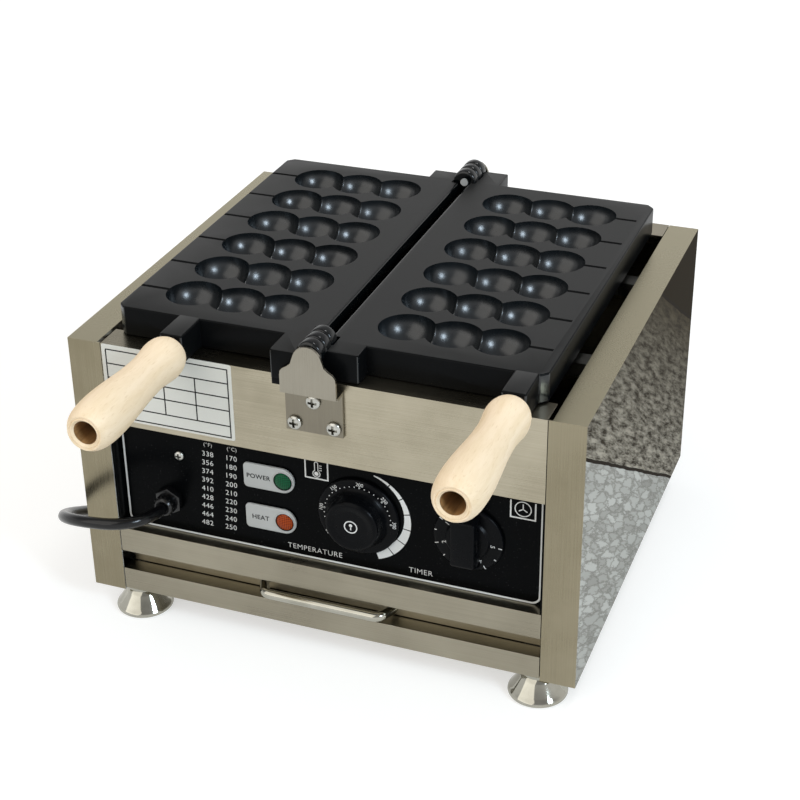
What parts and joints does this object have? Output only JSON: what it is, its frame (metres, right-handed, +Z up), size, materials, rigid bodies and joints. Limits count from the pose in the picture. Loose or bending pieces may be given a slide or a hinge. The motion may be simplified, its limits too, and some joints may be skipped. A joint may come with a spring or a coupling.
{
  "type": "rotary ball waffle maker",
  "caption": "Countertop electric ball-waffle maker: steel cabinet, two cast mould plates on one central hinge, each turning over onto the other, crumb drawer, thermostat and timer knobs.",
  "frame": {"origin": "centre of the footprint without the cord, on the surface that the feet stand on", "axes": "+X to the user's right, +Y from the control panel to the back, +Z up"},
  "size_m": [0.382, 0.5854, 0.2528],
  "materials": {
    "stainless": "satin stainless steel sheet, brushed",
    "chrome": "bright chrome plating",
    "zinc": "zinc plated steel",
    "non_stick": "cast aluminium with a black non-stick coating",
    "beech": "turned beech, unvarnished",
    "black_paint": "black painted steel sheet, semi-gloss",
    "black_plastic": "black moulded plastic",
    "pale_plastic": "pale grey moulded plastic",
    "green_lens": "green translucent lens, unlit",
    "orange_lens": "orange translucent lens, unlit",
    "heater": "heat-darkened steel sheath",
    "cord_rubber": "black cord sheath, slightly glossy"
  },
  "bodies": {
    "cabinet": {"side_panel_left": "stainless", "side_panel_right": "stainless", "rear_panel": "stainless", "front_upper_panel": "stainless", "lower_front_rail": "stainless", "bottom_front_rail": "stainless", "control_panel": "black_paint", "base_plate": "stainless", "control_box": "zinc", "foot_front_left": "chrome", "foot_rear_left": "chrome", "foot_front_right": "chrome", "foot_rear_right": "chrome", "hinge_bracket_front": "stainless", "hinge_bracket_rear": "stainless", "hinge_pin_front": "zinc", "hinge_pin_rear": "zinc", "hinge_screw_front_left": "zinc", "hinge_screw_front_right": "zinc", "hinge_screw_front_top": "zinc", "hinge_screw_rear_left": "zinc", "hinge_screw_rear_right": "zinc", "hinge_screw_rear_top": "zinc", "heating_element_left": "heater", "heating_element_right": "heater", "element_support_front": "zinc", "element_support_rear": "zinc", "thermostat_body": "zinc", "thermostat_probe": "chrome", "timer_body": "black_plastic", "power_lamp": "pale_plastic", "power_lens": "green_lens", "heat_lamp": "pale_plastic", "heat_lens": "orange_lens", "terminal_block": "pale_plastic", "panel_screw": "zinc", "cable_gland": "black_plastic", "gland_locknut": "black_plastic", "drawer_runner_left": "zinc", "drawer_runner_right": "zinc", "power_cord": "cord_rubber", "cord_coil": "cord_rubber", "cord_tie": "black_plastic", "cord_plug": "black_plastic"},
    "left_mould": {"mould_plate_left": "non_stick", "handle_rod_left": "zinc", "grip_left": "beech", "handle_nut_left": "zinc"},
    "right_mould": {"mould_plate_right": "non_stick", "handle_rod_right": "zinc", "grip_right": "beech", "handle_nut_right": "zinc"},
    "drawer": {"crumb_tray": "stainless", "drawer_handle": "chrome"},
    "temperature_control": {"temperature_knob": "black_plastic", "thermostat_shaft": "zinc"},
    "timer_control": {"timer_knob": "black_plastic", "timer_shaft": "zinc"}
  },
  "joints": [
    {"name": "left_mould_turn", "type": "hinge", "parent": "cabinet", "child": "left_mould", "pos_m": [0, 0.0564, 0.24375], "axis": [0, 1, 0], "range_deg": [0, 180]},
    {"name": "right_mould_turn", "type": "hinge", "parent": "cabinet", "child": "right_mould", "pos_m": [0, 0.0564, 0.24375], "axis": [0, -1, 0], "range_deg": [0, 180]},
    {"name": "drawer_slide", "type": "slide", "parent": "cabinet", "child": "drawer", "axis": [0, -1, 0], "range_m": [0, 0.24]},
    {"name": "temperature_knob_turn", "type": "hinge", "parent": "cabinet", "child": "temperature_control", "pos_m": [0.0245, -0.0921, 0.1185], "axis": [0, 1, 0], "range_deg": [0, 290]},
    {"name": "timer_knob_turn", "type": "hinge", "parent": "cabinet", "child": "timer_control", "pos_m": [0.102, -0.0921, 0.1185], "axis": [0, 1, 0], "range_deg": [0, 300]}
  ]
}
